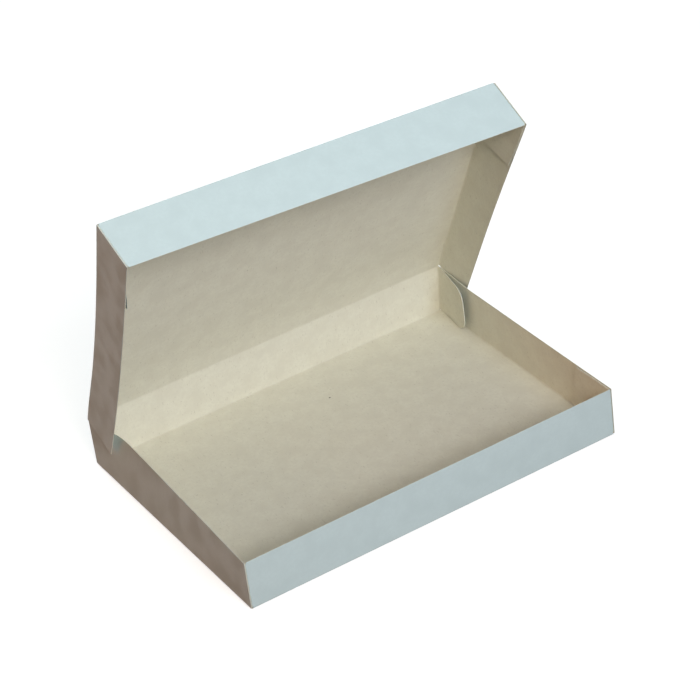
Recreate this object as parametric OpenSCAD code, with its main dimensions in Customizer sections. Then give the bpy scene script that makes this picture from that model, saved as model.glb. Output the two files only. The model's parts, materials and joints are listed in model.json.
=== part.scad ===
// Cardboard lunch box with a hinged lid, standing open
// The real box is folded from one blank of thin board. Its tray and its lid each have walls
// folded up from a flat panel, held at the corners by tabs that are glued inside the side walls.
// The only fold that still moves is the crease along the top of the rear wall, where the lid turns.
// The origin is the middle of the tray's underside, with the crease along X and the front at -Y.

/* [Tray] */
// Width of the tray, along the crease
tray_width = 280; // [180:5:400]
// Depth of the tray, from its front wall to its rear wall
tray_depth = 204; // [150:2:300]
// Height of the tray's front wall and side walls
wall_height = 36; // [26:1:60]

/* [Board] */
// Thickness of the board
board = 0.5; // [0.4:0.05:0.8]
// Radius on the inside of a fold
fold_inside = 0.4; // [0.2:0.05:0.8]

/* [Lid] */
// Angle of the lid's right side above its shut position
lid_open = 62; // [0:1:115]
// How much further open the left side stands, because the board has taken a twist
lid_twist = 4; // [0:0.5:8]
// Gap between a side flap of the lid and the tray's wall
side_play = 2.1; // [1.2:0.1:4]
// Gap between the front flap of the lid and the tray's front wall
front_play = 0.7; // [0.4:0.1:3]
// Gap between the shut lid's panel and the walls under it
seat_gap = 0.3; // [0.2:0.05:1]
// Height above the table at which the shut lid's front flap ends
table_gap = 0.9; // [0.5:0.1:6]
// How much shorter a side flap is at its rear end than at its front
flap_taper = 2; // [0:0.5:6]
// Gap at the crease, between the lid's panel and the top of the rear wall
crease_gap = 0.15; // [0.1:0.05:0.4]

/* [Glue tabs] */
// Length of the tray's front tabs along the floor
front_tab = 46; // [20:1:65]
// Length of the tray's rear tabs
rear_tab = 42; // [24:1:65]
// Length of the lid's tabs along its panel
lid_tab = 53; // [20:1:65]
// How much shorter the slanted tabs are at their free edge
tab_slant = 9; // [0:1:15]
// Gap between a tab's long edges and the edges of the wall it lies on
tab_trim = 1; // [0.5:0.25:3]
// Upper corner radius of a rear tab
rear_tab_round = 14; // [4:1:16]
// Lower corner radius of a rear tab
rear_tab_toe = 8; // [2:1:9]
// Length of the right rear tab that the glue still holds
rear_tab_glued = 14; // [6:1:20]
// How far the end of the right rear tab stands off its wall
rear_tab_lift = 3; // [1:0.5:5]

/* [Set of the left wall] */
// How far the top edge of the left wall leans in at its deepest
wall_lean = 7; // [0:0.5:12]
// Distance of the deepest lean from the rear wall
lean_from_rear = 36; // [28:1:70]
// Half length of the rounded bend in the top edge there
lean_round = 8; // [2:1:12]

/* [Hidden] */
$fn = 64;

// Outside radius of a fold
fold_out = fold_inside + board;
half_w = tray_width / 2;
half_d = tray_depth / 2;
// Inner face of the tray's side walls
wall_in = half_w - board;

// The crease
crease_y = half_d - board / 2;
crease_z = wall_height + seat_gap + board / 2;

// The lid, shut
lid_half_w = half_w + side_play + board;
lid_in = lid_half_w - board;
lid_front = -half_d - front_play - board;
lid_top = crease_z + board / 2;
lid_under = crease_z - board / 2;
panel_front = lid_front + fold_out;
panel_rear = crease_y - board / 2 - crease_gap;

// Where the lid's folds start, at its sides and in height
panel_x = lid_half_w - fold_out;
shoulder_z = lid_top - fold_out;
// Steps of a fold and of the twist
fold_steps = 5;
twist_slices = 12;

// Top and bottom of the tray's glue tabs
tab_low = fold_out + tab_trim;
tab_high = wall_height - tab_trim;

white_lined = "#c9d6dd";

// A quarter round fold of board about the Z axis, starting along +X
module fold(length, turn = 90) {
    rotate_extrude(angle = turn)
        translate([fold_inside, 0])
            square([board, length]);
}

// A fold that lies along +X from x0 to x1: it joins a level panel at its +Y side to a wall above it
module fold_along_x(x0, x1) {
    translate([x0, fold_out, fold_out])
        rotate([0, 90, 0])
            rotate([0, 0, -90])
                mirror([0, 1, 0])
                    rotate([0, 0, -90])
                        fold(x1 - x0);
}

// A sheet of board standing in the YZ plane, from x = 0 outwards, cut to the points given as [y, z]
module side_sheet(points) {
    rotate([90, 0, 90])
        linear_extrude(board)
            polygon(points);
}

// A sheet of board standing in the XZ plane, from y = 0 backwards
module cross_sheet(x0, x1, z0, z1) {
    translate([x0, 0, z0])
        cube([x1 - x0, board, z1 - z0]);
}

// The tray: floor, four walls and four glue tabs, with the crease as a rounded edge on the rear wall
module tray() {
    color(white_lined) {
        tray_floor();
        cross_wall(wall_height);
        mirror([0, 1, 0])
            cross_wall(crease_z);
        crease_bead();
        right_wall();
        left_wall();
        front_right_tab();
        rear_right_tab();
        left_tab(front_tab, -1);
        left_tab(rear_tab, 1);
    }
}

module tray_floor() {
    floor_x = half_w - fold_out;
    floor_y = half_d - fold_out;
    translate([-floor_x, -floor_y, 0])
        cube([2 * floor_x, 2 * floor_y, board]);
}

// The front wall with its folds, and mirrored the rear wall
module cross_wall(top) {
    end_x = wall_in - fold_out;
    translate([0, -half_d, 0]) {
        fold_along_x(-end_x, end_x);
        cross_sheet(-end_x, end_x, fold_out, top);
        for (side = [-1, 1])
            translate([side * end_x, fold_out, tab_low])
                rotate([0, 0, side < 0 ? 180 : 270])
                    fold(tab_high - tab_low);
    }
}

// The rounded top of the rear wall, which the lid turns about
module crease_bead() {
    end_x = wall_in - fold_out;
    translate([-end_x, crease_y, crease_z])
        rotate([0, 90, 0])
            cylinder(d = board, h = 2 * end_x);
}

// The fold between the floor and a side wall, on the +X side
module side_fold() {
    run = half_d - fold_out;
    translate([half_w - fold_out, run, fold_out])
        rotate([90, 0, 0])
            rotate([0, 0, -90])
                fold(2 * run);
}

module right_wall() {
    side_fold();
    translate([wall_in, 0, 0])
        side_sheet([
            [-half_d, fold_out],
            [half_d, fold_out],
            [half_d, wall_height],
            [-half_d, wall_height]
        ]);
}

module front_right_tab() {
    root = -half_d + fold_out;
    translate([wall_in - board, 0, 0])
        side_sheet([
            [root, tab_low],
            [-half_d + front_tab, tab_low],
            [-half_d + front_tab - tab_slant, tab_high],
            [root, tab_high]
        ]);
}

// The right rear tab is glued for its first part, and its end stands off the wall
module rear_right_tab() {
    root = half_d - fold_out;
    bend = half_d - rear_tab_glued;
    lift = asin(rear_tab_lift / (rear_tab - rear_tab_glued));
    translate([wall_in - board, 0, 0])
        side_sheet([
            [bend, tab_low],
            [root, tab_low],
            [root, tab_high],
            [bend, tab_high]
        ]);
    translate([wall_in, bend, 0])
        rotate([0, 0, -lift])
            translate([-board, 0, 0])
                rotate([90, 0, 90])
                    linear_extrude(board)
                        loose_end(rear_tab - rear_tab_glued);
}

// Outline of the tab's free end, with both corners rounded, pointing to -X
module loose_end(length) {
    difference() {
        translate([-length, tab_low])
            square([length, tab_high - tab_low]);
        translate([-length, tab_high])
            corner_cut(rear_tab_round, 1);
        translate([-length, tab_low])
            corner_cut(rear_tab_toe, -1);
    }
}

// What is cut off an upper (up = 1) or a lower (up = -1) corner to round it
module corner_cut(radius, up) {
    difference() {
        translate([-1, up > 0 ? -radius : -1])
            square([radius + 1, radius + 1]);
        translate([radius, -up * radius])
            circle(radius);
    }
}

// How far the left wall's top edge leans in at the place y
lean_start = -half_d + fold_out;
lean_end = half_d - fold_out;
lean_y = half_d - lean_from_rear;
function lean_line(y) = y < lean_y
    ? wall_lean * (y - lean_start) / (lean_y - lean_start)
    : wall_lean * (lean_end - y) / (lean_end - lean_y);
function lean_bend(u) = (1 - u) * (1 - u) * lean_line(lean_y - lean_round)
    + 2 * u * (1 - u) * wall_lean
    + u * u * lean_line(lean_y + lean_round);
function lean(y) = abs(y - lean_y) < lean_round
    ? lean_bend((y - lean_y + lean_round) / (2 * lean_round))
    : max(0, lean_line(y));

// Places along the left wall at which its shape is set, between y0 and y1
lean_step = 12;
bend_steps = 6;
lean_places = concat(
    [for (y = [lean_start : lean_step : lean_y - lean_round - lean_step / 2]) y],
    [for (i = [0 : bend_steps]) lean_y + lean_round * (2 * i / bend_steps - 1)],
    [(lean_y + lean_round + lean_end) / 2, lean_end]
);
function stations(y0, y1) = [
    y0,
    for (y = lean_places) if (y > y0 + fold_inside && y < y1 - fold_inside) y,
    y1
];

// A sheet of board that follows the lean of the left wall. For each place in ys it runs from lows
// to highs in height, and from face0 to face1 inwards from the wall's outer face.
module leaning_sheet(ys, lows, highs, face0, face1) {
    function corner(i, z, face) = [
        -half_w + face + lean(ys[i]) * (z - fold_out) / (wall_height - fold_out),
        ys[i],
        z
    ];
    loft([
        for (i = [0 : len(ys) - 1]) [
            corner(i, lows[i], face0),
            corner(i, highs[i], face0),
            corner(i, highs[i], face1),
            corner(i, lows[i], face1)
        ]
    ]);
}

// A solid through a row of rings of points, each clockwise as seen along the row. Its long faces are
// split into triangles one way in the first half of a ring and the other way in the second, so that
// the two faces of a board stay the same distance apart.
module loft(rings) {
    size = len(rings[0]);
    last = len(rings) - 1;
    stretches = [
        for (i = [0 : last - 1], k = [0 : size - 1])
            let (a = i * size + k, b = i * size + (k + 1) % size)
                each k < size / 2
                    ? [[a, a + size, b + size], [a, b + size, b]]
                    : [[a, a + size, b], [a + size, b + size, b]]
    ];
    ends = [
        [for (k = [0 : size - 1]) k],
        [for (k = [size - 1 : -1 : 0]) last * size + k]
    ];
    polyhedron(points = [for (ring = rings) each ring], faces = concat(stretches, ends));
}

module left_wall() {
    mirror([1, 0, 0])
        side_fold();
    ys = stations(-half_d, half_d);
    leaning_sheet(ys, [for (y = ys) fold_out], [for (y = ys) wall_height], 0, board);
}

// A tab glued inside the left wall, at its front end (end = -1) or its rear end (end = 1)
module left_tab(length, end) {
    root = end * (half_d - fold_out);
    tip_low = end * (half_d - length);
    tip_high = end * (half_d - length + tab_slant);
    near = end < 0 ? root : tip_low;
    far = end < 0 ? tip_low : root;
    ys = stations_with(near, far, tip_high);
    function top_at(y) = end * (y - tip_high) >= 0
        ? tab_high
        : tab_low + tab_trim + (tab_high - tab_low - tab_trim) * (y - tip_low) / (tip_high - tip_low);
    leaning_sheet(ys, [for (y = ys) tab_low], [for (y = ys) top_at(y)], board / 2, 2 * board);
}

// The stations between y0 and y1, with one more at extra
function stations_with(y0, y1, extra) = concat(
    [for (y = stations(y0, y1)) if (y < extra - fold_inside) y],
    [extra],
    [for (y = stations(y0, y1)) if (y > extra + fold_inside) y]
);

// The lid: panel, front flap, two side flaps and two glue tabs, turned open about the crease
module lid() {
    color(white_lined)
        translate([0, crease_y, crease_z])
            rotate([-lid_open, 0, 0])
                translate([0, -crease_y, -crease_z])
                    shut_lid();
}

// The flat lid with its twist: a solid with rounded edges, with the inside taken out below and behind
module shut_lid() {
    difference() {
        lid_solid(fold_out, panel_rear, table_gap, table_gap + flap_taper);
        lid_solid(fold_inside, crease_y + board, -board, -board);
    }
    for (side = [-1, 1])
        lid_glue_tab(side);
}

// How much further open the lid stands at x. The twist lies between its side folds.
function twist_at(x) = lid_twist * (1 - max(-1, min(1, x / panel_x))) / 2;

// A point of the flat lid, turned about the crease by the twist
function twisted(p) =
    let (turn = twist_at(p[0]), y = p[1] - crease_y, z = p[2] - crease_z)
        [p[0], crease_y + y * cos(turn) + z * sin(turn), crease_z - y * sin(turn) + z * cos(turn)];

// A solid under the panel's face that lies radius outside the middle of the folds, from the rear to
// the front flap and down to low at its front and rear, in sections along the crease
module lid_solid(radius, rear, front_low, rear_low) {
    turns = [for (i = [0 : fold_steps]) 90 * i / fold_steps];
    function section(x, height) = [
        for (p = concat(
            [[rear, shoulder_z + height]],
            [for (t = turns) [panel_front - radius * sin(t), shoulder_z + height * cos(t)]],
            [[panel_front - radius, front_low], [rear, rear_low]]
        ))
            twisted([x, p[0], p[1]])
    ];
    loft(concat(
        [for (i = [fold_steps : -1 : 1])
            section(-panel_x - radius * sin(turns[i]), radius * cos(turns[i]))],
        [for (i = [0 : twist_slices])
            section(panel_x * (2 * i / twist_slices - 1), radius)],
        [for (i = [1 : fold_steps])
            section(panel_x + radius * sin(turns[i]), radius * cos(turns[i]))]
    ));
}

// The tab glued inside a side flap, folded from the front flap
module lid_glue_tab(side) {
    near = side * (lid_in - board);
    far = side * (lid_in + board / 2);
    root = lid_front + board / 2;
    function ring(z, end) = [
        for (p = [[near, root], [near, end], [far, end], [far, root]]) twisted([p[0], p[1], z])
    ];
    low = ring(table_gap + tab_trim, lid_front + lid_tab - tab_slant);
    high = ring(lid_under - tab_trim, lid_front + lid_tab);
    loft(side > 0 ? [high, low] : [low, high]);
}

tray();
lid();
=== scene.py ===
"""Cardboard lunch box, standing open.

The box is one blank of white lined board, creased and folded into a tray and a lid. Each of the
two is modelled here as one folded sheet: its outer face is laid out patch by patch, the patches
are merged, and the board's thickness is added behind them. A narrow strip of the same board
bends at the crease between them. All lengths are in metres.
"""

import json
import math

import bmesh
import bpy
from bpy.props import FloatProperty, FloatVectorProperty, PointerProperty
from mathutils import Matrix, Vector, noise
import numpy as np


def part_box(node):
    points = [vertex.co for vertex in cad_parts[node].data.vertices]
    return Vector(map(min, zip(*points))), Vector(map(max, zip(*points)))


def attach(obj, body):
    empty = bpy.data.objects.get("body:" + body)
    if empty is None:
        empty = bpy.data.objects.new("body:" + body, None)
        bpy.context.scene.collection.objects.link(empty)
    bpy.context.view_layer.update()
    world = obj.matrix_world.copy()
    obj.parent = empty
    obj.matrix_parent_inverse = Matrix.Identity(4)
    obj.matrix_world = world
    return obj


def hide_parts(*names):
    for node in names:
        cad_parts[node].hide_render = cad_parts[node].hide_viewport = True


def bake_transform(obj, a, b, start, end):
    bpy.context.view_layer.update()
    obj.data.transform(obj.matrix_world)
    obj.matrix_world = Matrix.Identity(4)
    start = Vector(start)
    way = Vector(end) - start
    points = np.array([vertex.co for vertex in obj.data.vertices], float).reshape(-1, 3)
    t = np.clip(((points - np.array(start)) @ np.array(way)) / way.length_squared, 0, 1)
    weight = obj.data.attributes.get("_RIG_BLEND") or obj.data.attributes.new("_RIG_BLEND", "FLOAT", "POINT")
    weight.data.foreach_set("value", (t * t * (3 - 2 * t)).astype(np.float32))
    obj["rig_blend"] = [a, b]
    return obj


bl_info = {
    "name": "Cardboard lunch box",
    "version": (1, 0, 0),
    "blender": (4, 5, 0),
    "location": "3D View > Sidebar > Carton",
    "description": "Folds a lunch box with a hinged lid from white lined board",
    "category": "Add Mesh",
}

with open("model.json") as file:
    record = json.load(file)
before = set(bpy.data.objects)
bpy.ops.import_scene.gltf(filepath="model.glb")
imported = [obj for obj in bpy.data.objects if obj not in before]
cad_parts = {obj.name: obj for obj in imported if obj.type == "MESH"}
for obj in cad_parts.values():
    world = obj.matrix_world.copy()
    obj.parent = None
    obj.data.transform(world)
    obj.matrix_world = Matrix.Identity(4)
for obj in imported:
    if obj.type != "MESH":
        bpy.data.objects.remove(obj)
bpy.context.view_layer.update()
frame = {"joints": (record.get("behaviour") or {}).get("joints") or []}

MM = 0.001
QUARTER = math.pi / 2
MERGE_DISTANCE = 0.01 * MM
SHARP_ANGLE = math.radians(35)
FOLD_STEPS = 6
# Shares of a tab's length: from point to point, from its fold to the point closest to it, and
# from its fold to the last point before its cut end
TAB_STEP = 0.1
TAB_FIRST = 0.03
TRAY_TAB_LAST = 0.975
LID_TAB_LAST = 0.98
# How sharply the loose tab's lift and the right flap's bow grow, as powers
LIFT_POWER = 1.15
RIGHT_BOW_POWER = 1.5
# How far before the crease the bow of the lid's left side would start, as a share of its depth
BOW_LEAD = 0.2
# The swelling of the crease strip: its height in boards, its half width in half strips
SWELL_HEIGHT = 0.3
SWELL_WIDTH = 0.6
# A crease bead: sides of its profile, points along a line, and how far towards the corner it sits
# from the middle of the fold's curve, in fold radii
BEAD_SIDES = 8
LINE_STEPS = 12
BEAD_SHIFT = 0.45
# The one dark speck of dirt, on the tray's floor
SPECK_PLACE = (0.0198, 0.0607)
SPECK_RADIUS = 0.9 * MM

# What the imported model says: the tray's half sizes, the lid's half width, the crease and how far
# the lid stands open
TRAY_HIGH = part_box("tray")[1]
HALF_W = TRAY_HIGH.x
HALF_D = TRAY_HIGH.y
LID_HALF_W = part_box("lid")[1].x
HINGE = frame["joints"][0]
CREASE_Y, CREASE_Z = HINGE["pos_m"][1:]
LID_OPEN = math.radians(-HINGE["range_deg"][0])


def linear_colour(text):
    """Turns an sRGB colour, written as hex, into linear red, green, blue and alpha."""
    parts = [int(text[i:i + 2], 16) / 255 for i in (1, 3, 5)]
    curve = [c / 12.92 if c <= 0.04045 else ((c + 0.055) / 1.055) ** 2.4 for c in parts]
    return (*curve, 1.0)


def length(name, description, millimetres):
    """A length property whose default is given in millimetres."""
    return FloatProperty(
        name=name, description=description, default=millimetres * MM, unit="LENGTH", precision=5
    )


def angle(name, description, degrees):
    """An angle property whose default is given in degrees."""
    return FloatProperty(
        name=name, description=description, default=math.radians(degrees), unit="ROTATION"
    )


def colour(name, description, text):
    """A colour property whose default is given as sRGB hex."""
    return FloatVectorProperty(
        name=name,
        description=description,
        default=linear_colour(text),
        size=4,
        min=0,
        max=1,
        subtype="COLOR",
    )


class BoardSizes(bpy.types.PropertyGroup):
    """Sizes of the board and of its folds."""

    board: length("Board", "Thickness of the board", 0.5)
    fold_inside: length("Fold radius", "Radius on the inside of a fold", 0.4)
    wall_height: length("Wall height", "Height of the tray's front and side walls", 36)
    grid: length("Grid", "Spacing of the mesh on flat panels", 6)
    shoulder: length("Shoulder", "Width of the worn band beside a fold or a cut edge", 0.8)
    tab_trim: length("Tab trim", "Gap between a tab's long edges and its wall's edges", 1)
    tab_slant: length("Tab slant", "How much shorter a slanted tab is on its free edge", 9)
    tab_gap: length("Glue gap", "Gap between a glued tab and its wall", 0.03)
    tab_spring: length("Tab spring", "How far a glued tab's cut end stands off its wall", 0.35)
    ripple: length("Ripple", "Height of the slow waves in a panel", 0.22)
    ripple_size: length("Ripple size", "Size of the slow waves in a panel", 55)
    bead: length("Bead radius", "Radius of the bead raised on the inside of a crease", 0.34)


class TraySizes(bpy.types.PropertyGroup):
    """Sizes of the tray's tabs and the set of its left wall."""

    front_tab: length("Front tab", "Length of the front tabs along the floor", 46)
    rear_tab: length("Rear tab", "Length of the rear tabs", 40)
    rear_tab_round: length("Upper corner", "Upper corner radius of the loose rear tab", 9)
    rear_tab_toe: length("Lower corner", "Lower corner radius of the loose rear tab", 12)
    rear_tab_glued: length("Glued part", "Length of the loose rear tab that is still glued", 6)
    rear_tab_lift: length("Lift", "How far the loose rear tab's end stands off its wall", 4.8)
    rear_trim: length("Rear trim", "Gap between a rear tab and the floor's fold", 0.2)
    rear_slant: length("Rear slant", "Length over which a rear tab slants down from the crease", 12)
    splay: length("Splay", "How far the top of the loose corner stands out", 2.0)
    splay_run: length("Splay run", "Length of side wall over which that dies away", 45)
    wall_lean: length("Lean", "How far the left wall's top edge leans in", 7)
    lean_from_rear: length("Lean place", "Distance of the deepest lean from the rear", 36)
    lean_round: length("Lean bend", "Half length of the bend in the left wall's top edge", 8)
    floor_bow: length("Floor bow", "How far the middle of the floor rises off the table", 0.6)


class LidSizes(bpy.types.PropertyGroup):
    """Sizes of the lid and the warp that its board has taken."""

    front_play: length("Front play", "Gap between front flap and front wall, when shut", 0.7)
    table_gap: length("Table gap", "Height of the flaps' free edges above the table", 0.9)
    flap_taper: length("Taper", "How much shorter a side flap is at its rear end", 3.8)
    tab: length("Tab", "Length of the glue tabs along the panel", 53)
    crease_half: length("Crease strip", "Half width of the strip that bends at the crease", 0.8)
    crease_bend: length("Crease bend", "How far from the crease the bend starts", 0.6)
    twist: angle("Twist", "How much further open the left side stands", 4.0)
    front_rise: length("Front rise", "How far the front flap's fold is lifted off square", 2.0)
    crease_spring: length("Crease spring", "How far the panel bulges beside its crease", 0.7)
    spring_run: length("Spring run", "Length of panel over which that dies away", 60)
    left_bow: length("Left bow", "How far the panel's left side bows in", 3.4)
    tab_spring: length("Tab spring", "How far a glue tab's cut end stands off its flap", 1.3)
    panel_bow: length("Panel bow", "How far the middle of the panel bows outwards", 1.6)
    left_flare: length("Left flare", "How far the left flap's free edge flares out", 0.8)
    right_bow: length("Right bow", "How far the right flap's free edge bows in", 1.5)


class BoardFinish(bpy.types.PropertyGroup):
    """Colours and pattern sizes of the board."""

    coating: colour("Coating", "Clay coated outer face", "#CFDFE1")
    coating_shade: colour("Coating shade", "Cloudy patches in the coating", "#CADADC")
    back: colour("Back", "Grey recycled back", "#E1DFD0")
    back_shade: colour("Back shade", "Cloudy patches in the back", "#DAD7C8")
    fibre_dark: colour("Dark fibres", "Dark flecks in the recycled back", "#8F8672")
    fibre_light: colour("Light fibres", "Light flecks in the recycled back", "#E9E4D4")
    cut: colour("Cut edge", "Grey core of the board at a cut edge", "#DAD5C4")
    speck: colour("Speck", "The dark speck on the floor", "#4A4236")
    cloud: length("Clouds", "Size of the cloudy patches", 14)
    mottle: length("Mottle", "Size of the fine mottle", 2.4)
    fleck: length("Flecks", "Width of a fibre fleck", 0.9)
    grain: length("Grain", "Size of the surface grain", 0.5)


class StudioSettings(bpy.types.PropertyGroup):
    """The camera's place and the level of the lamps."""

    azimuth: angle("Azimuth", "Direction of the camera round the box, from its front", -28.34)
    elevation: angle("Elevation", "Height of the camera above the horizon", 32.99)
    roll: angle("Roll", "Turn of the camera about its own axis", -7.73)
    distance: length("Distance", "Distance of the camera from the point it looks at", 1740)
    lens: FloatProperty(name="Lens", description="Focal length in millimetres", default=140.62)
    aim: FloatVectorProperty(
        name="Aim",
        description="The point that the camera looks at",
        default=(-0.00718, -0.02747, 0.0958),
        subtype="TRANSLATION",
        unit="LENGTH",
        precision=5,
    )
    level: FloatProperty(
        name="Level", description="Level of all the lamps together", default=1.0, min=0
    )


class Skin:
    """The outer face of a folded sheet, gathered as patches of points."""

    def __init__(self):
        self.points = []
        self.blank = []
        self.worn = []
        self.faces = []

    def add(self, rows, outward):
        """Adds a patch. Each of its rows is a list of (point, place on the flat blank, wear)."""
        first = len(self.points)
        across = len(rows[0])
        for row in rows:
            for point, blank, worn in row:
                self.points.append(Vector(point))
                self.blank.append(blank)
                self.worn.append(worn)
        a, b, c = (self.points[first + k] for k in (0, 1, across))
        swap = (b - a).cross(c - a).dot(Vector(outward)) < 0
        for i in range(len(rows) - 1):
            for j in range(across - 1):
                k = first + i * across + j
                quad = (k, k + 1, k + 1 + across, k + across)
                self.faces.append(quad[::-1] if swap else quad)

    def merged(self):
        """One bmesh of all the patches, joined where their edges meet."""
        bm = bmesh.new()
        blank = bm.verts.layers.float_vector.new("blank")
        worn = bm.verts.layers.float.new("worn")
        verts = [bm.verts.new(p) for p in self.points]
        for vert, place, wear in zip(verts, self.blank, self.worn):
            vert[blank] = Vector((*place, 0))
            vert[worn] = wear
        for face in self.faces:
            bm.faces.new([verts[k] for k in face])
        bmesh.ops.remove_doubles(bm, verts=bm.verts, dist=MERGE_DISTANCE)
        bm.normal_update()
        bm.verts.index_update()
        return bm


def sheet_object(name, skin, board, materials, swell=None):
    """Makes a folded sheet of even thickness from its outer face. The faces of its rims take the
    third material. swell gives a place's extra thickness on the inside."""
    bm = skin.merged()
    blank = bm.verts.layers.float_vector["blank"]
    worn = bm.verts.layers.float["worn"]
    count = len(bm.verts)
    outer = [v.co.copy() for v in bm.verts]
    inner = [v.co - v.normal * (board + (swell(v[blank]) if swell else 0)) for v in bm.verts]
    places = [v[blank].copy() for v in bm.verts]
    wear = [max(v[worn], float(v.is_boundary)) for v in bm.verts]
    faces = []
    kinds = []
    for face in bm.faces:
        ring = [v.index for v in face.verts]
        faces.append(ring)
        kinds.append(0)
        faces.append([k + count for k in reversed(ring)])
        kinds.append(1)
    for edge in bm.edges:
        if edge.is_boundary:
            loop = edge.link_loops[0]
            a, b = loop.vert.index, loop.link_loop_next.vert.index
            faces.append([b, a, a + count, b + count])
            kinds.append(2)
    bm.free()
    mesh = bpy.data.meshes.new(name)
    mesh.from_pydata(outer + inner, [], faces)
    for material in materials:
        mesh.materials.append(material)
    mesh.polygons.foreach_set("material_index", kinds)
    mesh.polygons.foreach_set("use_smooth", [True] * len(faces))
    depth = [(p.x, p.y, 0.0) for p in places] + [(p.x, p.y, board) for p in places]
    layer = mesh.attributes.new("blank", "FLOAT_VECTOR", "POINT")
    layer.data.foreach_set("vector", [c for p in depth for c in p])
    mesh.attributes.new("worn", "FLOAT", "POINT").data.foreach_set("value", wear + wear)
    mesh.set_sharp_from_angle(angle=SHARP_ANGLE)
    mesh.update()
    obj = bpy.data.objects.new(name, mesh)
    bpy.context.scene.collection.objects.link(obj)
    return obj


def stations(start, end, step, *between):
    """Places from start to end, about step apart, with those in between among them."""
    fixed = [start, *sorted(p for p in between if start < p < end), end]
    places = [start]
    for low, high in zip(fixed, fixed[1:]):
        count = max(1, round((high - low) / step))
        places += [low + (high - low) * (i + 1) / count for i in range(count)]
    return places


def within(places, low, high):
    """Those of the places that lie from low to high."""
    return [p for p in places if low - MERGE_DISTANCE < p < high + MERGE_DISTANCE]


def hump(t):
    """0 at t = 0 and t = 1, and 1 between them."""
    return math.sin(math.pi * min(1, max(0, t)))


def bulge(t):
    """0 at t = 0, quickly up to 1 at t = 1/3, and slowly back to 0 at t = 1."""
    t = min(1, max(0, t))
    return 27 / 4 * t * (1 - t) ** 2


def rise(t):
    """0 at t = 0, turning smoothly to 1 at t = 1."""
    t = min(1, max(0, t))
    return t * t * (3 - 2 * t)


def ripple(sizes, x, y, layer):
    """Slow waves of a panel, always inwards, at the place x, y of the blank. Each layer has its
    own waves."""
    place = Vector((x, y, layer * sizes.ripple_size * 3)) / sizes.ripple_size
    return sizes.ripple * (0.5 + 0.5 * noise.noise(place))


def tab_shares(last):
    """Places along a tab as shares of its length, the last but one of them given."""
    return stations(0, 1, TAB_STEP, TAB_FIRST, last)


class Sheet:
    """Values that the tray and the lid share."""

    def __init__(self, context):
        self.sizes = context.scene.carton_board
        self.board = self.sizes.board
        self.radius = self.sizes.fold_inside + self.sizes.board
        # Length of a quarter fold on the flat blank, along the middle of the board
        self.arc = QUARTER * (self.radius - self.board / 2)
        # Flat length from the rear wall's crease with the floor, which goes on into the lid
        self.crease_v = HALF_D - self.radius + self.arc + CREASE_Z - self.radius
        self.skin = Skin()

    def fold(self):
        """The points of a quarter fold, as the sine and cosine of the turn, the length on the flat
        blank and the wear."""
        turns = [QUARTER * i / FOLD_STEPS for i in range(FOLD_STEPS + 1)]
        return [(math.sin(t), math.cos(t), self.arc * t / QUARTER, math.sin(2 * t)) for t in turns]

    def patch(self, firsts, seconds, place, outward):
        """Adds a patch with a row for each first value and a point in it for each second one."""
        self.skin.add([[place(a, b) for b in seconds] for a in firsts], outward)


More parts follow.
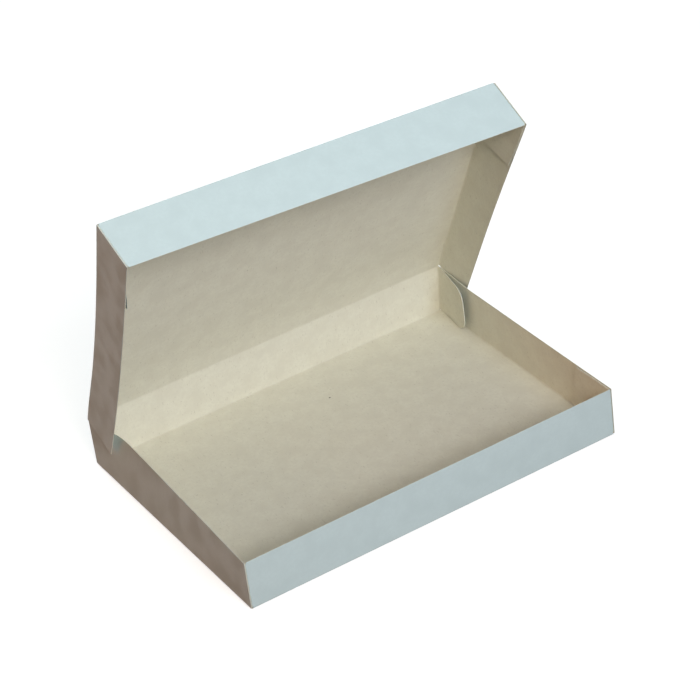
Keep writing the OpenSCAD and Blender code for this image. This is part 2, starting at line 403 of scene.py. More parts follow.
class Tray(Sheet):
    """The tray's outer face: floor, four walls and four glue tabs."""

    def __init__(self, context):
        super().__init__(context)
        self.tray = context.scene.carton_tray
        self.crease_half = context.scene.carton_lid.crease_half
        self.floor_x = HALF_W - self.radius
        self.floor_y = HALF_D - self.radius
        self.end_x = HALF_W - self.board - self.radius
        self.top = self.sizes.wall_height
        self.tab_low = self.radius + self.sizes.tab_trim
        self.tab_high = self.top - self.sizes.tab_trim
        self.rear_low = self.radius + self.tray.rear_trim
        self.rear_top = CREASE_Z - self.crease_half
        # A rear tab reaches up to the crease at its fold and is lower by this share at its end
        self.rear_drop = (self.rear_top - self.tab_high) / (self.rear_top - self.rear_low)
        shoulder = self.sizes.shoulder
        near_x = (self.end_x, self.end_x - shoulder, self.floor_x - shoulder)
        near_y = (self.floor_y - shoulder,)
        self.xs = stations(-self.floor_x, self.floor_x, self.sizes.grid, *near_x, *(-x for x in near_x))
        self.ys = stations(-self.floor_y, self.floor_y, self.sizes.grid, *near_y, *(-y for y in near_y))
        self.wall_xs = [x for x in self.xs if abs(x) <= self.end_x + MERGE_DISTANCE]
        self.zs = stations(
            self.radius,
            self.top,
            self.sizes.grid,
            self.radius + shoulder,
            self.tab_low,
            self.tab_high,
            self.top - shoulder,
        )

    def build(self):
        self.floor()
        for end in (-1, 1):
            self.cross_fold(end)
        self.cross_wall(-1, self.zs)
        rear_zs = self.rear_stations()
        self.cross_wall(1, rear_zs)
        for side in (-1, 1):
            self.side_fold(side)
            self.side_wall(side)
            self.tab(side, -1, within(self.zs, self.tab_low, self.tab_high))
            self.tab(side, 1, within(rear_zs, self.rear_low, self.rear_top))
        return self.skin

    def rear_stations(self):
        """Heights on the rear wall, close together where the loose tab's corners are round."""
        sines = [sine for sine, *_ in self.fold()[1:-1]]
        upper = [self.tab_high - self.tray.rear_tab_round * (1 - sine) for sine in sines]
        lower = [self.rear_low + self.tray.rear_tab_toe * (1 - sine) for sine in sines]
        round_places = [
            self.rear_low + (z - self.rear_low) / (1 - self.rear_drop) for z in upper + lower
        ]
        return stations(self.radius, self.rear_top, self.sizes.grid, self.rear_low, *round_places)

    def splay_at(self, z):
        """How far the loose corner stands out at the height z."""
        return self.tray.splay * max(0, z - self.radius) / (self.top - self.radius)

    def floor(self):
        def place(x, y):
            window = hump((x / self.floor_x + 1) / 2) * hump((y / self.floor_y + 1) / 2)
            z = window * (self.tray.floor_bow + ripple(self.sizes, x, y, 0))
            return (x, y, z), (x, y), 0

        self.patch(self.xs, self.ys, place, (0, 0, -1))

    def cross_fold(self, end):
        """The fold between the floor and the front wall (end = -1) or the rear wall (end = 1)."""
        r = self.radius
        rows = []
        for sine, cosine, flat, worn in self.fold():
            y, z = end * (self.floor_y + r * sine), r - r * cosine
            v = end * (self.floor_y + flat)
            rows.append([((x, y, z), (x, v), worn) for x in self.xs])
        self.skin.add(rows, (0, end, -1))

    def cross_wall(self, end, zs):
        def place(z, x):
            v = end * (self.floor_y + self.arc + z - self.radius)
            # The rear wall is a little wider at its top, where the loose corner stands out
            spread = self.splay_at(z) / self.end_x if end > 0 else 0
            window = hump((x / self.end_x + 1) / 2) * self.wall_window(end, z)
            y = end * (HALF_D - window * ripple(self.sizes, x, v, 0))
            return (x + spread * max(0, x), y, z), (x, v), 0

        self.patch(zs, self.wall_xs, place, (0, end, 0))

    def wall_window(self, end, z):
        """Where a wall's waves may show: up to its free edge, but not at the crease."""
        t = (z - self.radius) / (self.top - self.radius)
        return rise(t) if end < 0 else hump(t)

    def side_fold(self, side):
        r = self.radius
        rows = []
        for sine, cosine, flat, worn in self.fold():
            x, z = side * (self.floor_x + r * sine), r - r * cosine
            u = side * (self.floor_x + flat)
            rows.append([((x, y, z), (u, y), worn) for y in self.ys])
        self.skin.add(rows, (side, 0, -1))

    def side_wall(self, side):
        ys = [-HALF_D, *self.ys, HALF_D]
        if side < 0:
            ys = stations(-HALF_D, HALF_D, self.sizes.grid, *self.ys, *self.lean_places())

        def place(z, y):
            u = side * (self.floor_x + self.arc + z - self.radius)
            return (side * (HALF_W - self.wall_inward(side, y, z)), y, z), (u, y), 0

        self.patch(self.zs, ys, place, (side, 0, 0))

    def wall_inward(self, side, y, z):
        """How far a side wall's outer face stands in from the tray's side at y, z."""
        up = (z - self.radius) / (self.top - self.radius)
        window = hump((y / HALF_D + 1) / 2) * rise(up)
        u = side * (self.floor_x + z)
        inward = window * ripple(self.sizes, u, y, 1)
        if side < 0:
            return inward + self.lean(y) * up
        run = self.tray.splay_run
        return inward - self.splay_at(z) * rise((y - HALF_D + run) / run)

    def lean_places(self):
        """Places in the rounded bend of the left wall's top edge."""
        middle = HALF_D - self.tray.lean_from_rear
        return [middle + self.tray.lean_round * k / 4 for k in range(-4, 5)]

    def lean(self, y):
        """How far the left wall's top edge leans in at y: two straight runs with a round bend."""
        middle = HALF_D - self.tray.lean_from_rear
        half = self.tray.lean_round

        def line(at):
            if at < middle:
                return self.tray.wall_lean * (at + self.floor_y) / (middle + self.floor_y)
            return self.tray.wall_lean * (self.floor_y - at) / (self.floor_y - middle)

        if abs(y - middle) >= half:
            return max(0, line(y))
        t = (y - middle + half) / (2 * half)
        bend = (1 - t) ** 2 * line(middle - half) + t * t * line(middle + half)
        return bend + 2 * t * (1 - t) * self.tray.wall_lean

    def tab(self, side, end, zs):
        """The glue tab inside a side wall (side) at the front (end = -1) or rear (end = 1)."""
        loose = side > 0 and end > 0
        r = self.radius
        rows = []
        for z in zs:
            v = end * (self.floor_y + self.arc + z - r)
            drop = self.rear_drop * (z - self.rear_low) if end > 0 else 0
            reach = self.tab_reach(loose, end, z - drop) - r
            splay = self.splay_at(z) if loose else 0
            row = []
            for sine, cosine, flat, worn in self.fold()[:-1]:
                x = side * (self.end_x + splay + (r - self.sizes.tab_gap) * sine)
                y = end * (self.floor_y + r * cosine)
                row.append(((x, y, z), (side * (self.end_x + flat), v), worn))
            for share in tab_shares(TRAY_TAB_LAST):
                s = share * reach
                y = end * (self.floor_y - s)
                height = z - drop * rise(s / self.tray.rear_slant)
                inward = self.board + self.sizes.tab_gap + self.wall_inward(side, y, height)
                inward += self.tab_off(loose, s, share)
                u = side * (self.end_x + self.arc + s)
                row.append(((side * (HALF_W - inward), y, height), (u, v), 0))
            rows.append(row)
        self.skin.add(rows, (side, end, 0))

    def tab_reach(self, loose, end, z):
        """Length of a tab from the wall that it is folded from, at the height z."""
        if not loose:
            whole = self.tray.front_tab if end < 0 else self.tray.rear_tab
            low = self.tab_low if end < 0 else self.rear_low
            return whole - self.sizes.tab_slant * ((z - low) / (self.tab_high - low))
        upper, lower = self.tray.rear_tab_round, self.tray.rear_tab_toe
        cut = 0
        # Each round corner takes off what lies past its quarter circle
        corners = ((upper, z - (self.tab_high - upper)), (lower, self.rear_low + lower - z))
        for corner, past in corners:
            if past > 0:
                cut = corner - math.sqrt(max(0, corner * corner - past * past))
        return self.tray.rear_tab - cut

    def tab_off(self, loose, s, share):
        """How far a tab stands off its wall at the distance s, or the share, from its fold."""
        if not loose:
            return self.sizes.tab_spring * rise(share * 2 - 1)
        glued = self.tray.rear_tab_glued - self.radius
        free = self.tray.rear_tab - self.tray.rear_tab_glued
        return self.tray.rear_tab_lift * max(0, (s - glued) / free) ** LIFT_POWER


class Lid(Sheet):
    """The lid's outer face: panel, front flap, two side flaps and two glue tabs. It is laid out
    shut, and each point is then turned open."""

    def __init__(self, context):
        super().__init__(context)
        self.lid = context.scene.carton_lid
        self.top = CREASE_Z + self.board / 2
        self.front = -HALF_D - self.lid.front_play - self.board
        self.panel_front = self.front + self.radius
        self.panel_rear = CREASE_Y - self.lid.crease_half
        self.panel_x = LID_HALF_W - self.radius
        self.end_x = LID_HALF_W - self.board - self.radius
        self.shoulder_z = self.top - self.radius
        self.tab_high = self.top - self.board - self.sizes.tab_trim
        self.tab_low = self.lid.table_gap + self.sizes.tab_trim
        shoulder = self.sizes.shoulder
        tray_end = HALF_W - self.board - self.radius
        near_x = (self.end_x, self.end_x - shoulder, self.panel_x - shoulder, tray_end)
        self.xs = stations(-self.panel_x, self.panel_x, self.sizes.grid, *near_x, *(-x for x in near_x))
        self.ys = stations(
            self.panel_front,
            self.panel_rear,
            self.sizes.grid,
            self.panel_front + shoulder,
            self.panel_rear - shoulder,
        )
        self.zs = stations(
            self.lid.table_gap,
            self.shoulder_z,
            self.sizes.grid,
            self.lid.table_gap + shoulder,
            self.tab_low,
            self.tab_high,
            self.shoulder_z - shoulder,
        )

    def turned(self, x, y, z):
        """A point of the shut lid, warped as its board has, and turned open by as much as the lid
        stands open at x."""
        behind = self.panel_rear - y
        ahead = behind / (self.panel_rear - self.front)
        up = (z - self.lid.table_gap) / (self.top - self.lid.table_gap)
        spring = self.lid.crease_spring * bulge(behind / self.lid.spring_run)
        z += up * (self.lid.front_rise * max(0, ahead) + spring)
        bow = self.lid.left_bow * hump((ahead + BOW_LEAD) / (1 + BOW_LEAD))
        x += bow * max(0, -x / LID_HALF_W) ** 3
        return turn_open(x, y, z, lid_angle(self.lid, x))

    def v_of(self, y):
        return self.crease_v + CREASE_Y - y

    def down(self, z):
        """The height z as a share of the flaps' depth, from 0 at their fold to 1 at their edge."""
        return (self.shoulder_z - z) / (self.shoulder_z - self.lid.table_gap)

    def along(self, y):
        """The place y as a share of the side flaps' length, from 0 at the front to 1 at the crease."""
        return (y - self.front) / (self.panel_rear - self.front)

    def build(self):
        self.panel()
        self.front_fold()
        self.front_flap()
        for side in (-1, 1):
            self.side_fold(side)
            self.side_flap(side)
            self.tab(side)
        return self.skin

    def outward(self, x, y, z):
        """The direction x, y, z of the shut lid, turned open."""
        return turn_open(0, y + CREASE_Y, z + CREASE_Z, LID_OPEN) - Vector((-x, CREASE_Y, CREASE_Z))

    def panel(self):
        span = self.panel_rear - self.panel_front

        def place(x, y):
            window = hump((x / self.panel_x + 1) / 2) * hump((y - self.panel_front) / span)
            waves = ripple(self.sizes, x, self.v_of(y), 2)
            z = self.top + window * (self.lid.panel_bow - waves)
            return self.turned(x, y, z), (x, self.v_of(y)), 0

        self.patch(self.xs, self.ys, place, self.outward(0, 0, 1))

    def front_fold(self):
        r = self.radius
        rows = []
        for sine, cosine, flat, worn in self.fold():
            y, z = self.panel_front - r * sine, self.shoulder_z + r * cosine
            v = self.v_of(self.panel_front) + flat
            rows.append([(self.turned(x, y, z), (x, v), worn) for x in self.xs])
        self.skin.add(rows, self.outward(0, -1, 1))

    def front_flap(self):
        def place(z, x):
            v = self.v_of(self.panel_front) + self.arc + self.shoulder_z - z
            window = hump((x / self.end_x + 1) / 2) * rise(self.down(z))
            y = self.front + window * ripple(self.sizes, x, v, 2)
            return self.turned(x, y, z), (x, v), 0

        xs = [x for x in self.xs if abs(x) <= self.end_x + MERGE_DISTANCE]
        self.patch(self.zs, xs, place, self.outward(0, -1, 0))

    def side_fold(self, side):
        r = self.radius
        rows = []
        for sine, cosine, flat, worn in self.fold():
            x, z = side * (self.panel_x + r * sine), self.shoulder_z + r * cosine
            u = side * (self.panel_x + flat)
            rows.append([(self.turned(x, y, z), (u, self.v_of(y)), worn) for y in self.ys])
        self.skin.add(rows, self.outward(side, 0, 1))

    def flap_inward(self, side, y, z):
        """How far a side flap's outer face stands in from the lid's side."""
        if side < 0:
            return -self.lid.left_flare * self.down(z) * hump(self.along(y))
        return self.lid.right_bow * self.down(z) * hump(self.along(y)) ** RIGHT_BOW_POWER

    def side_flap(self, side):
        def place(z, y):
            u = side * (self.panel_x + self.arc + self.shoulder_z - z)
            height = z + self.down(z) * self.lid.flap_taper * self.along(y)
            x = side * (LID_HALF_W - self.flap_inward(side, y, height))
            return self.turned(x, y, height), (u, self.v_of(y)), 0

        self.patch(self.zs, [self.front, *self.ys], place, self.outward(side, 0, 0))

    def tab(self, side):
        r = self.radius
        zs = within(self.zs, self.tab_low, self.tab_high)
        rows = []
        for z in zs:
            v = self.v_of(self.panel_front) + self.arc + self.shoulder_z - z
            down = (self.tab_high - z) / (self.tab_high - self.tab_low)
            reach = self.lid.tab - self.sizes.tab_slant * down - r
            row = []
            for sine, cosine, flat, worn in self.fold()[:-1]:
                x = side * (self.end_x + (r - self.sizes.tab_gap) * sine)
                y = self.panel_front - r * cosine
                row.append((self.turned(x, y, z), (side * (self.end_x + flat), v), worn))
            for share in tab_shares(LID_TAB_LAST):
                s = share * reach
                y = self.panel_front + s
                inward = self.board + self.sizes.tab_gap + self.flap_inward(side, y, z)
                inward += self.lid.tab_spring * rise(share * 2 - 1)
                u = side * (self.end_x + self.arc + s)
                point = self.turned(side * (LID_HALF_W - inward), y, z)
                row.append((point, (u, v), 0))
            rows.append(row)
        self.skin.add(rows, self.outward(side, -1, 0))


def turn_open(x, y, z, turn):
    """Turns a point of the shut lid about the crease."""
    dy, dz = y - CREASE_Y, z - CREASE_Z
    c, s = math.cos(turn), math.sin(turn)
    return Vector((x, CREASE_Y + dy * c + dz * s, CREASE_Z - dy * s + dz * c))


def lid_angle(lid, x):
    """How far the lid stands open at x: the board is twisted, so its left side is higher."""
    return LID_OPEN + lid.twist * (1 - x / LID_HALF_W) / 2


def crease_skin(context):
    """The outer face of the strip of board that bends between the rear wall and the lid."""
    sheet = Sheet(context)
    tray = Tray(context)
    lid = context.scene.carton_lid
    spread = tray.splay_at(CREASE_Z) / tray.end_x
    half, bend, lift = lid.crease_half, lid.crease_bend, sheet.board / 2
    # The strip goes on over the folds of the rear tabs
    end = tray.end_x + sheet.radius - 2 * sheet.sizes.tab_gap
    xs = [x + spread * max(0, x) for x in (-end, *tray.wall_xs, end)]
    for_bend = [bend * k / 3 for k in range(-3, 4)]
    rows = []
    for s in (-half, *for_bend, half):
        row = []
        for x in xs:
            turn = QUARTER - lid_angle(lid, x)
            # The middle of the board follows the wall, then a curve, then the lid's panel
            wall = Vector((0, 0, 1))
            panel = Vector((0, -math.sin(turn), math.cos(turn)))
            if abs(s) >= bend:
                along = wall if s < 0 else panel
                middle = along * s
            else:
                t = (s + bend) / (2 * bend)
                middle = -wall * bend * (1 - t) ** 2 + panel * bend * t * t
                along = (wall * (1 - t) + panel * t).normalized()
            out = Vector((0, along.z, -along.y))
            point = Vector((x, CREASE_Y, CREASE_Z)) + middle + out * lift
            row.append((point, (x, sheet.crease_v + s), 1 - abs(s) / half))
        rows.append(row)
    sheet.skin.add(rows, (0, 1, 0.3))
    return sheet.skin, sheet.crease_v


def add_node(tree, kind, inputs=None, **settings):
    """Adds a node with its settings. An input is a value, or a socket that it is linked from."""
    node = tree.nodes.new(kind)
    for name, value in settings.items():
        setattr(node, name, value)
    for name, value in (inputs or {}).items():
        if isinstance(value, bpy.types.NodeSocket):
            tree.links.new(value, node.inputs[name])
        else:
            node.inputs[name].default_value = value
    return node


# Sockets of a Mix node that is set to colours
MIX_FACTOR, MIX_A, MIX_B, MIX_RESULT = 0, 6, 7, 2


def emptied_tree(owner):
    """The node tree of a material or a world, without nodes."""
    owner.use_nodes = True
    owner.node_tree.nodes.clear()
    return owner.node_tree


def attribute(tree, name, socket):
    """A value that the mesh carries."""
    return add_node(tree, "ShaderNodeAttribute", attribute_name=name).outputs[socket]


def new_material(name):
    """A material, its empty node tree and the place on the flat blank that its patterns follow."""
    material = bpy.data.materials.new(name)
    tree = emptied_tree(material)
    return material, tree, attribute(tree, "blank", "Vector")


def add_surface(tree, tone, roughness, specular, grain, strength, depth):
    """Adds the Principled shader and the output, with the grain as a bump."""
    bump = {"Strength": strength, "Distance": depth, "Height": grain}
    values = {
        "Base Color": tone,
        "Roughness": roughness,
        "Specular IOR Level": specular,
        "Normal": add_node(tree, "ShaderNodeBump", bump).outputs["Normal"],
    }
    shader = add_node(tree, "ShaderNodeBsdfPrincipled", values)
    add_node(tree, "ShaderNodeOutputMaterial", {"Surface": shader.outputs["BSDF"]})


def mixed(tree, factor, a, b):
    """Mixes two colours and gives the result's socket."""
    values = {MIX_FACTOR: factor, MIX_A: a, MIX_B: b}
    return add_node(tree, "ShaderNodeMix", values, data_type="RGBA").outputs[MIX_RESULT]


def ranged(tree, value, low, high, to_low=0.0, to_high=1.0):
    """Maps low..high to to_low..to_high, with smooth ends, and gives the result's socket."""
    values = {"Value": value, "From Min": low, "From Max": high, "To Min": to_low, "To Max": to_high}
    node = add_node(tree, "ShaderNodeMapRange", values, interpolation_type="SMOOTHSTEP")
    return node.outputs["Result"]


def pattern(tree, place, size, detail=2.0, roughness=0.5):
    """Noise whose features measure about size, in metres, on the flat blank."""
    values = {"Vector": place, "Scale": 1 / size, "Detail": detail, "Roughness": roughness}
    return add_node(tree, "ShaderNodeTexNoise", values).outputs["Fac"]


def coated_face(finish):
    """Clay coated white lining of folding boxboard: a smooth, cool white with a low sheen, faintly
    cloudy where the coating lies thinner, and dull and grey where a fold has cracked it."""
    material, tree, place = new_material("clay_coated_board_face")
    clouds = ranged(tree, pattern(tree, place, finish.cloud, 3), 0.35, 0.7)
    mottle = ranged(tree, pattern(tree, place, finish.mottle, 2), 0.3, 0.7, 0.0, 0.5)
    tone = mixed(tree, clouds, finish.coating, finish.coating_shade)
    tone = mixed(tree, mottle, tone, finish.coating_shade)
    cracks = ranged(tree, pattern(tree, place, finish.fleck, 3, 0.7), 0.45, 0.6)
    both = {0: attribute(tree, "worn", "Fac"), 1: cracks}
    cracked = add_node(tree, "ShaderNodeMath", both, operation="MULTIPLY").outputs["Value"]
    rubbed = ranged(tree, cracked, 0.35, 1.0, 0.0, 0.55)
    tone = mixed(tree, rubbed, tone, finish.back_shade)
    roughness = ranged(tree, clouds, 0.0, 1.0, 0.44, 0.56)
    # The real grain is near 0.05 mm, too fine to show here, so it is drawn ten times coarser
    grain = pattern(tree, place, finish.grain, 3, 0.6)
    add_surface(tree, tone, roughness, 0.25, grain, 0.16, 0.05 * MM)
    return material


def recycled_back(finish):
    """Uncoated grey back of the board, made of recycled fibre: matt, a little rough, with clouds
    from the wire it was formed on and with darker and lighter fibres in it."""
    material, tree, place = new_material("recycled_grey_board_back")
    clouds = ranged(tree, pattern(tree, place, finish.cloud, 4, 0.6), 0.35, 0.68)
    mottle = ranged(tree, pattern(tree, place, finish.mottle, 3), 0.35, 0.7, 0.0, 0.6)
    tone = mixed(tree, clouds, finish.back, finish.back_shade)
    tone = mixed(tree, mottle, tone, finish.back_shade)
    # Real fibres are 1 to 3 mm long and 0.03 mm wide; they are drawn wider, so that they show
    lying = add_node(tree, "ShaderNodeMapping", {"Vector": place, "Scale": (1.0, 0.32, 1.0)})
    flecks = pattern(tree, lying.outputs["Vector"], finish.fleck, 2, 0.6)
    dark = ranged(tree, flecks, 0.62, 0.76, 0.0, 0.28)
    light = ranged(tree, flecks, 0.38, 0.25, 0.0, 0.3)
    tone = mixed(tree, dark, tone, finish.fibre_dark)
    tone = mixed(tree, light, tone, finish.fibre_light)
    # The distance from the speck on the flat blank, whatever the depth in the board
    apart = place
    for other, operation in (((*SPECK_PLACE, 0), "SUBTRACT"), ((1, 1, 0), "MULTIPLY")):
        apart = add_node(
            tree, "ShaderNodeVectorMath", {0: apart, 1: other}, operation=operation
        ).outputs["Vector"]
    gap = add_node(tree, "ShaderNodeVectorMath", {0: apart}, operation="LENGTH").outputs["Value"]
    speck = ranged(tree, gap, SPECK_RADIUS, SPECK_RADIUS * 0.5, 0.0, 0.85)
    tone = mixed(tree, speck, tone, finish.speck)
    grain = pattern(tree, place, finish.grain, 4, 0.65)
    add_surface(tree, tone, 0.9, 0.3, grain, 0.35, 0.08 * MM)
    return material


def cut_edge(finish, board):
    """Die cut edge of the board: a thin white line of coating and lining, then the straw grey
    core, torn a little rough by the blade."""
    material, tree, place = new_material("die_cut_board_edge")
    depth = add_node(tree, "ShaderNodeSeparateXYZ", {"Vector": place}).outputs["Z"]
    core = ranged(tree, depth, board * 0.15, board * 0.35)
    fibres = ranged(tree, pattern(tree, place, finish.fleck, 3, 0.7), 0.35, 0.7, 0.0, 0.6)
    tone = mixed(tree, fibres, finish.cut, finish.back_shade)
    tone = mixed(tree, core, finish.coating, tone)
    grain = pattern(tree, place, finish.grain, 3, 0.7)
    add_surface(tree, tone, 0.95, 0.25, grain, 0.5, 0.08 * MM)
    return material


def board_materials(context):
    """The three finishes of the board, made once: outer face, inner face and cut edge."""
    names = ("clay_coated_board_face", "recycled_grey_board_back", "die_cut_board_edge")
    found = [bpy.data.materials.get(name) for name in names]
    if None not in found:
        return found
    finish = context.scene.carton_finish
    return [coated_face(finish), recycled_back(finish), cut_edge(finish, board_of(context))]


def board_of(context):
    return context.scene.carton_board.board


def bead_tree(material):
    """Geometry nodes that sweep a thin round bead along the edges of a mesh."""
    tree = bpy.data.node_groups.new("crease_bead_sweep", "GeometryNodeTree")
    tree.interface.new_socket("Creases", in_out="INPUT", socket_type="NodeSocketGeometry")
    radius = tree.interface.new_socket("Bead radius", in_out="INPUT", socket_type="NodeSocketFloat")
    spacing = tree.interface.new_socket("Spacing", in_out="INPUT", socket_type="NodeSocketFloat")
    tree.interface.new_socket("Beads", in_out="OUTPUT", socket_type="NodeSocketGeometry")
    given = add_node(tree, "NodeGroupInput")
    path = add_node(tree, "GeometryNodeMeshToCurve", {"Mesh": given.outputs["Creases"]})
    even = add_node(
        tree,
        "GeometryNodeResampleCurve",
        {"Curve": path.outputs["Curve"], "Length": given.outputs["Spacing"]},
        mode="LENGTH",
    )
    profile = add_node(
        tree,
        "GeometryNodeCurvePrimitiveCircle",
        {"Resolution": BEAD_SIDES, "Radius": given.outputs["Bead radius"]},
    )
    swept = add_node(
        tree,
        "GeometryNodeCurveToMesh",
        {"Curve": even.outputs["Curve"], "Profile Curve": profile.outputs["Curve"], "Fill Caps": True},
    )
    position = add_node(tree, "GeometryNodeInputPosition")
    stored = add_node(
        tree,
        "GeometryNodeStoreNamedAttribute",
        {"Geometry": swept.outputs["Mesh"], "Name": "blank", "Value": position.outputs["Position"]},
        data_type="FLOAT_VECTOR",
        domain="POINT",
    )
    smooth = add_node(tree, "GeometryNodeSetShadeSmooth", {"Geometry": stored.outputs["Geometry"]})
    real = add_node(tree, "GeometryNodeRealizeInstances", {"Geometry": smooth.outputs["Geometry"]})
    painted = add_node(
        tree, "GeometryNodeSetMaterial", {"Geometry": real.outputs["Geometry"], "Material": material}
    )
    add_node(tree, "NodeGroupOutput", {"Beads": painted.outputs["Geometry"]})
    return tree, radius.identifier, spacing.identifier


def bead_object(name, lines, context):
    """Sweeps a bead along each of the lines and gives the result as one plain mesh."""
    points = [p for line in lines for p in line]
    edges = []
    first = 0
    for line in lines:
        edges += [(first + i, first + i + 1) for i in range(len(line) - 1)]
        first += len(line)
    mesh = bpy.data.meshes.new(name + "_lines")
    mesh.from_pydata(points, edges, [])
    source = bpy.data.objects.new(name + "_lines", mesh)
    context.scene.collection.objects.link(source)
    tree, radius, spacing = bead_tree(board_materials(context)[1])
    modifier = source.modifiers.new("beads", "NODES")
    modifier.node_group = tree
    modifier[radius] = context.scene.carton_board.bead
    modifier[spacing] = context.scene.carton_board.grid
    evaluated = source.evaluated_get(context.evaluated_depsgraph_get())
    result = bpy.data.meshes.new_from_object(evaluated)
    result.name = name
    bpy.data.objects.remove(source)
    obj = bpy.data.objects.new(name, result)
    context.scene.collection.objects.link(obj)
    return obj


def straight(a, b):
    """Points on a straight line from a to b."""
    return [Vector(a).lerp(Vector(b), i / LINE_STEPS) for i in range(LINE_STEPS + 1)]


def tray_bead_lines(context, shift):
    """Lines along the inside of the tray's folds: two for the floor's ends, two for its sides and
    four for the corners."""
    tray = Tray(context)
    shoulder = tray.sizes.shoulder
    x, y, z = tray.floor_x + shift, tray.floor_y + shift, tray.radius - shift
    end_x, end_y = tray.end_x - shoulder, tray.floor_y - shoulder
    lines = []
    for side in (-1, 1):
        lines.append(straight((-end_x, side * y, z), (end_x, side * y, z)))
        lines.append(straight((side * x, -end_y, z), (side * x, end_y, z)))
        for end in (-1, 1):
            low = high = side * (tray.end_x + shift)
            # The rear right corner is the one that stands out
            if side > 0 and end > 0:
                low += tray.splay_at(tray.tab_low)
                high += tray.splay_at(tray.tab_high)
            lines.append(straight((low, end * y, tray.tab_low), (high, end * y, tray.tab_high)))
    return lines


def lid_bead_lines(context, shift):
    """Lines along the inside of the lid's folds: front, two sides and two corners."""
    lid = Lid(context)
    shoulder = lid.sizes.shoulder
    x, y, z = lid.panel_x + shift, lid.panel_front - shift, lid.shoulder_z + shift
    end_x, end_y = lid.end_x - shoulder, lid.panel_front + shoulder
    shut = [straight((-end_x, y, z), (end_x, y, z))]
    for side in (-1, 1):
        shut.append(straight((side * x, end_y, z), (side * x, lid.panel_rear, z)))
        corner = (side * (lid.end_x + shift), y)
        shut.append(straight((*corner, lid.tab_low), (*corner, lid.tab_high)))
    return [[lid.turned(*point) for point in line] for line in shut]


class CARTON_OT_tray(bpy.types.Operator):
    """Fold the tray: floor, four walls and four glue tabs in one sheet"""

    bl_idname = "carton.tray"
    bl_label = "Fold the tray"

    def execute(self, context):
        tray = Tray(context)
        materials = board_materials(context)
        obj = sheet_object("tray_board", tray.build(), tray.board, materials)
        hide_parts("tray")
        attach(obj, "tray")
        return {"FINISHED"}


class CARTON_OT_lid(bpy.types.Operator):
    """Fold the lid: panel, three flaps and two glue tabs in one sheet"""

    bl_idname = "carton.lid"
    bl_label = "Fold the lid"

    def execute(self, context):
        lid = Lid(context)
        materials = board_materials(context)
        obj = sheet_object("lid_board", lid.build(), lid.board, materials)
        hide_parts("lid")
        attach(obj, "lid")
        return {"FINISHED"}


class CARTON_OT_crease(bpy.types.Operator):
    """Lay the strip of board that bends when the lid moves"""

    bl_idname = "carton.crease"
    bl_label = "Lay the crease"

    def execute(self, context):
        skin, crease_v = crease_skin(context)
        board = board_of(context)
        half = context.scene.carton_lid.crease_half

        def swell(blank):
            """The bead that creasing raises on the inside of the board."""
            return SWELL_HEIGHT * board * rise(1 - abs(blank.y - crease_v) / (SWELL_WIDTH * half))

        obj = sheet_object("crease_strip", skin, board, board_materials(context), swell)
        start = Vector((0, CREASE_Y, CREASE_Z - half))
        end = turn_open(0, CREASE_Y - half, CREASE_Z, LID_OPEN)
        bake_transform(obj, "tray", "lid", start=start, end=end)
        return {"FINISHED"}


class CARTON_OT_beads(bpy.types.Operator):
    """Raise the beads that creasing leaves along the inside of the folds"""

    bl_idname = "carton.beads"
    bl_label = "Raise the crease beads"

    def execute(self, context):
        shift = context.scene.carton_board.fold_inside * BEAD_SHIFT
        lines = tray_bead_lines(context, shift)
        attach(bead_object("tray_crease_beads", lines, context), "tray")
        lines = lid_bead_lines(context, shift)
        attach(bead_object("lid_crease_beads", lines, context), "lid")
        return {"FINISHED"}


# Soft lamps round the box: name, azimuth from the front and elevation in degrees, strength in watts
# and colour
LAMPS = (
    ("key_lamp", -12, 35, 13, "#FFF4E6"),
    ("fill_lamp", 10, 33, 7.4, "#D0E6FF"),
    ("low_lamp", 5, 20, 1.6, "#FFFFFF"),
    ("back_lamp", 180, 55, 11, "#F4FFFF"),
    ("left_lamp", -100, 8, 3.2, "#FFA45C"),
)
LAMP_DISTANCE = 1.5
LAMP_WIDTH = 0.7
LAMP_AIM = Vector((0, 0, 0.08))
WORLD_LEVEL = 0.02
FLOOR_SIZE = 12.0
FLOOR_DROP = -0.1 * MM
FLOOR_GLOW = 0.62


class CARTON_OT_studio(bpy.types.Operator):
    """Set up the camera, the lamps, the white world and the floor"""

    bl_idname = "carton.studio"
    bl_label = "Set up the studio"

    def execute(self, context):
        studio = context.scene.carton_studio
        place_camera(context.scene, studio)
        for lamp in LAMPS:
            add_lamp(context.scene, studio, *lamp)
        white_world(context.scene)
        add_floor(context.scene)
        context.scene.view_settings.view_transform = "Standard"
        return {"FINISHED"}


def direction(azimuth, elevation):
    """Unit vector towards a place round the box, from its front and from the horizon."""
    return Vector((
        math.sin(azimuth) * math.cos(elevation),
        -math.cos(azimuth) * math.cos(elevation),
        math.sin(elevation),
    ))


def place_camera(scene, studio):
    back = direction(studio.azimuth, studio.elevation)
    right = Vector((math.cos(studio.azimuth), math.sin(studio.azimuth), 0))
    up = back.cross(right)
    c, s = math.cos(studio.roll), math.sin(studio.roll)
    axes = Matrix((right * c + up * s, up * c - right * s, back)).transposed().to_4x4()
    camera = bpy.data.objects.new("camera", bpy.data.cameras.new("camera"))
    scene.collection.objects.link(camera)
    camera.matrix_world = Matrix.Translation(Vector(studio.aim) + back * studio.distance) @ axes
    camera.data.lens = studio.lens
    camera.data.sensor_width = 36
    camera.data.clip_start = 0.05
    scene.camera = camera


def add_lamp(scene, studio, name, azimuth, elevation, watts, text):
    light = bpy.data.lights.new(name, "AREA")
    light.shape = "DISK"
    light.size = LAMP_WIDTH
    light.energy = watts * studio.level
    light.color = linear_colour(text)[:3]
    lamp = bpy.data.objects.new(name, light)
    scene.collection.objects.link(lamp)
    way = direction(math.radians(azimuth), math.radians(elevation))
    lamp.location = LAMP_AIM + way * LAMP_DISTANCE
    lamp.rotation_euler = way.to_track_quat("Z", "Y").to_euler()


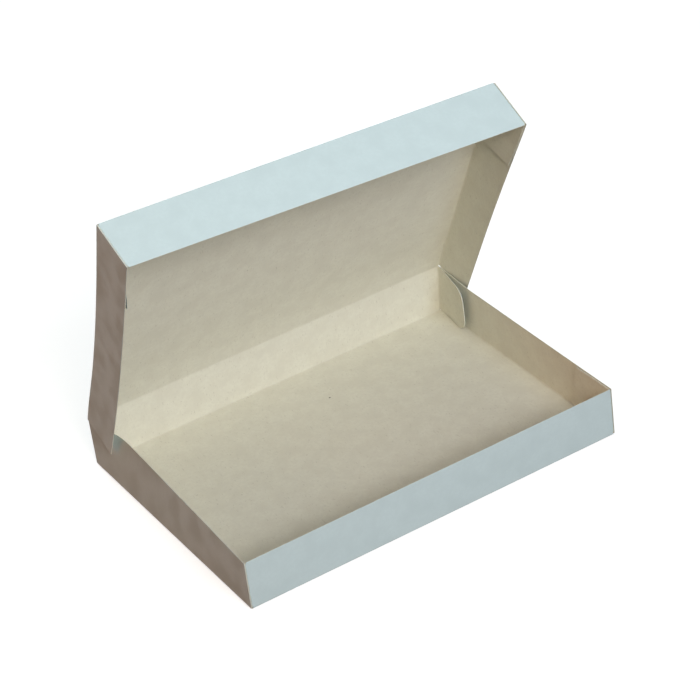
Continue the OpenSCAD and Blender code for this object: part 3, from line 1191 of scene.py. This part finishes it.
def seen_directly(tree):
    """1 for what the camera sees, straight or in a gloss or through a clear thing, otherwise 0."""
    path = add_node(tree, "ShaderNodeLightPath")
    total = path.outputs["Is Camera Ray"]
    for name in ("Is Glossy Ray", "Is Transmission Ray"):
        total = add_node(
            tree, "ShaderNodeMath", {0: total, 1: path.outputs[name]}, operation="MAXIMUM"
        ).outputs["Value"]
    return total


def white_world(scene):
    world = bpy.data.worlds.new("studio_world")
    tree = emptied_tree(world)
    around = add_node(
        tree, "ShaderNodeBackground", {"Color": linear_colour("#F4F6FF"), "Strength": WORLD_LEVEL}
    )
    white = add_node(tree, "ShaderNodeBackground", {"Color": (1, 1, 1, 1), "Strength": 1.0})
    both = add_node(
        tree, "ShaderNodeMixShader", {0: seen_directly(tree), 1: around.outputs[0], 2: white.outputs[0]}
    )
    add_node(tree, "ShaderNodeOutputWorld", {"Surface": both.outputs[0]})
    scene.world = world


def add_floor(scene):
    half = FLOOR_SIZE / 2
    corners = [(x * half, y * half, FLOOR_DROP) for x, y in ((-1, -1), (1, -1), (1, 1), (-1, 1))]
    mesh = bpy.data.meshes.new("studio_floor")
    mesh.from_pydata(corners, [], [(0, 1, 2, 3)])
    floor = bpy.data.objects.new("studio_floor", mesh)
    scene.collection.objects.link(floor)
    # Matt paper: white where it is seen, with the box's shadow on it, and darker for the light
    # that it throws back at the box
    material = bpy.data.materials.new("matt_white_paper")
    tree = emptied_tree(material)
    seen = seen_directly(tree)
    tone = mixed(tree, seen, linear_colour("#4A3826"), linear_colour("#D8D8D8"))
    matt = add_node(tree, "ShaderNodeBsdfDiffuse", {"Color": tone})
    glow = add_node(tree, "ShaderNodeEmission", {"Color": (1, 1, 1, 1), "Strength": FLOOR_GLOW})
    lit = add_node(tree, "ShaderNodeAddShader", {0: matt.outputs[0], 1: glow.outputs[0]})
    both = add_node(tree, "ShaderNodeMixShader", {0: seen, 1: matt.outputs[0], 2: lit.outputs[0]})
    add_node(tree, "ShaderNodeOutputMaterial", {"Surface": both.outputs[0]})
    mesh.materials.append(material)


class CARTON_PT_panel(bpy.types.Panel):
    """Lists the steps that build the box, and its settings"""

    bl_idname = "CARTON_PT_panel"
    bl_label = "Cardboard lunch box"
    bl_space_type = "VIEW_3D"
    bl_region_type = "UI"
    bl_category = "Carton"

    def draw(self, context):
        for step in STEPS:
            self.layout.operator(step.bl_idname)
        for name, group in SETTINGS.items():
            box = self.layout.box()
            settings = getattr(context.scene, name)
            for key in group.__annotations__:
                box.prop(settings, key)


SETTINGS = {
    "carton_board": BoardSizes,
    "carton_tray": TraySizes,
    "carton_lid": LidSizes,
    "carton_finish": BoardFinish,
    "carton_studio": StudioSettings,
}
STEPS = (CARTON_OT_tray, CARTON_OT_lid, CARTON_OT_crease, CARTON_OT_beads, CARTON_OT_studio)


def register():
    for item in (*SETTINGS.values(), *STEPS, CARTON_PT_panel):
        bpy.utils.register_class(item)
    for name, group in SETTINGS.items():
        setattr(bpy.types.Scene, name, PointerProperty(type=group))


def unregister():
    for name in SETTINGS:
        delattr(bpy.types.Scene, name)
    for item in reversed((*SETTINGS.values(), *STEPS, CARTON_PT_panel)):
        bpy.utils.unregister_class(item)


def main():
    register()
    bpy.ops.carton.tray()
    bpy.ops.carton.lid()
    bpy.ops.carton.crease()
    bpy.ops.carton.beads()
    bpy.ops.carton.studio()


if __name__ == "__main__":
    main()
